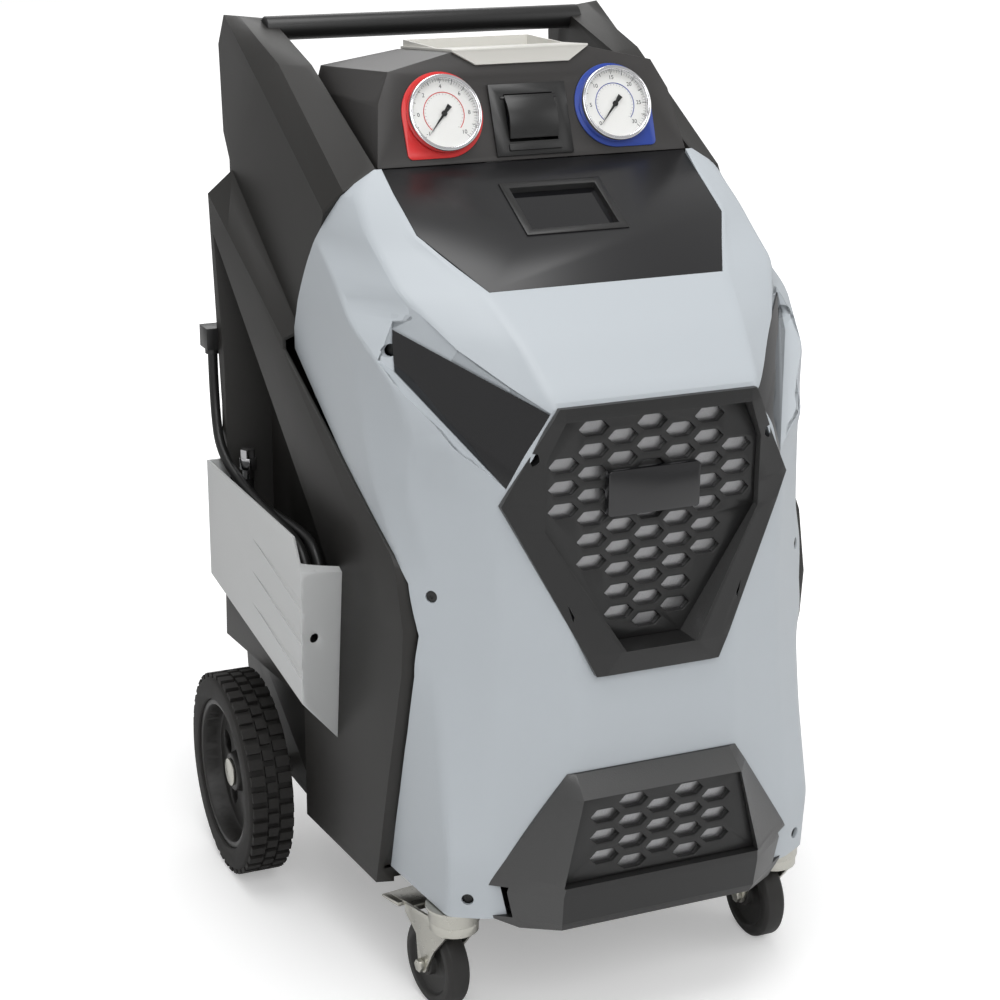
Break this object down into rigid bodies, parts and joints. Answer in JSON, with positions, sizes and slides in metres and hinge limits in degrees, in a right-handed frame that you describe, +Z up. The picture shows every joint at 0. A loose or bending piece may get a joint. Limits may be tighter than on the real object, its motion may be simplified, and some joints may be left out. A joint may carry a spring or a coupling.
{
  "type": "air conditioning recharge station",
  "caption": "Wheeled air conditioning service station with a grey faceted front, pressure gauges, panel printer, touch screen, honeycomb grilles, hose bins and a push bar.",
  "frame": {"origin": "on the floor under the middle of the station's box", "axes": "+Z up, front faces -Y, +X to the right as one stands before the front"},
  "size_m": [0.646, 0.7058, 1.0105],
  "materials": {
    "painted_metal": null,
    "matte_plastic": null,
    "gloss_plastic": null,
    "paper": null,
    "glass": null,
    "rubber": null,
    "brushed_steel": null,
    "chrome": null,
    "cast_iron": null,
    "brass": null,
    "aluminium": null
  },
  "bodies": {
    "cabinet": {"badge_plaque": "gloss_plastic", "base_tray": "painted_metal", "caster_mounts": "brushed_steel", "compressor": "cast_iron", "condenser": "aluminium", "console_hood": "matte_plastic", "console_panel": "matte_plastic", "cover_screws": "brushed_steel", "front_fascia": "matte_plastic", "gauge_case_left": "matte_plastic", "gauge_case_right": "matte_plastic", "gauge_dial_left": "paper", "gauge_dial_right": "paper", "gauge_lenses": "glass", "gauge_plate_left": "gloss_plastic", "gauge_plate_right": "gloss_plastic", "grille_mesh": "brushed_steel", "handle_bar": "brushed_steel", "hose_bin_left": "matte_plastic", "hose_bin_right": "matte_plastic", "hose_coil": "rubber", "hose_connector": "chrome", "hose_port": "matte_plastic", "inner_frame": "painted_metal", "lower_grille_insert": "matte_plastic", "lower_trim": "matte_plastic", "power_inlet": "matte_plastic", "printer_housing": "matte_plastic", "rear_axle": "brushed_steel", "rear_panel": "painted_metal", "refrigerant_tank": "painted_metal", "scale_platform": "painted_metal", "screen_bezel": "gloss_plastic", "screen_glass": "glass", "service_hose": "rubber", "shoulder_inlays": "gloss_plastic", "side_shell_left": "matte_plastic", "side_shell_right": "matte_plastic", "top_tray": "matte_plastic", "upper_grille_frame": "matte_plastic", "upper_grille_insert": "matte_plastic", "vacuum_pump": "cast_iron", "valve_block": "brass"},
    "rear_wheel_left": {"rear_tyre_left": "rubber", "rear_rim_left": "matte_plastic"},
    "rear_wheel_right": {"rear_tyre_right": "rubber", "rear_rim_right": "matte_plastic"},
    "caster_swivel_left": {"caster_fork_left": "brushed_steel", "caster_bolt_left": "brushed_steel"},
    "caster_swivel_right": {"caster_fork_right": "brushed_steel", "caster_bolt_right": "brushed_steel"},
    "caster_roller_left": {"caster_wheel_left": "rubber"},
    "caster_roller_right": {"caster_wheel_right": "rubber"},
    "pedal_left": {"brake_pedal_left": "brushed_steel"},
    "pedal_right": {"brake_pedal_right": "brushed_steel"},
    "lid": {"printer_lid": "gloss_plastic"},
    "needle_left": {"gauge_needle_left": "aluminium"},
    "needle_right": {"gauge_needle_right": "aluminium"},
    "fan": {"cooling_fan": "matte_plastic"},
    "rocker": {"power_switch": "matte_plastic"}
  },
  "joints": [
    {"name": "rear_wheel_left_spin", "type": "hinge", "parent": "cabinet", "child": "rear_wheel_left", "pos_m": [-0.2955, 0.179, 0.124], "axis": [1, 0, 0], "continuous": true},
    {"name": "rear_wheel_right_spin", "type": "hinge", "parent": "cabinet", "child": "rear_wheel_right", "pos_m": [0.2955, 0.179, 0.124], "axis": [1, 0, 0], "continuous": true},
    {"name": "caster_left_swivel", "type": "hinge", "parent": "cabinet", "child": "caster_swivel_left", "pos_m": [-0.196, -0.251, 0.11], "axis": [0, 0, 1], "continuous": true},
    {"name": "caster_left_roll", "type": "hinge", "parent": "caster_swivel_left", "child": "caster_roller_left", "pos_m": [-0.20073, -0.21733, 0.05], "axis": [0.9903, 0.1392, 0], "continuous": true},
    {"name": "brake_pedal_left_press", "type": "hinge", "parent": "caster_swivel_left", "child": "pedal_left", "pos_m": [-0.20519, -0.18564, 0.103], "axis": [-0.9903, -0.1392, 0], "range_deg": [0, 12]},
    {"name": "caster_right_swivel", "type": "hinge", "parent": "cabinet", "child": "caster_swivel_right", "pos_m": [0.196, -0.251, 0.11], "axis": [0, 0, 1], "continuous": true},
    {"name": "caster_right_roll", "type": "hinge", "parent": "caster_swivel_right", "child": "caster_roller_right", "pos_m": [0.196, -0.217, 0.05], "axis": [1, 0, 0], "continuous": true},
    {"name": "brake_pedal_right_press", "type": "hinge", "parent": "caster_swivel_right", "child": "pedal_right", "pos_m": [0.196, -0.185, 0.103], "axis": [-1, 0, 0], "range_deg": [0, 12]},
    {"name": "printer_lid_open", "type": "hinge", "parent": "cabinet", "child": "lid", "pos_m": [0, 0.00831, 0.94253], "axis": [-1, 0, 0], "range_deg": [0, 75]},
    {"name": "gauge_needle_left_turn", "type": "hinge", "parent": "cabinet", "child": "needle_left", "pos_m": [-0.1016, 0.00522, 0.9288], "axis": [0, 0.9291, -0.3698], "range_deg": [0, 270]},
    {"name": "gauge_needle_right_turn", "type": "hinge", "parent": "cabinet", "child": "needle_right", "pos_m": [0.1016, 0.00522, 0.9288], "axis": [0, 0.9291, -0.3698], "range_deg": [0, 270]},
    {"name": "cooling_fan_spin", "type": "hinge", "parent": "cabinet", "child": "fan", "pos_m": [0, -0.229, 0.3], "axis": [0, 1, 0], "continuous": true},
    {"name": "power_switch_rock", "type": "hinge", "parent": "cabinet", "child": "rocker", "pos_m": [-0.12, 0.314, 0.22], "axis": [1, 0, 0], "range_deg": [-10, 10]}
  ]
}
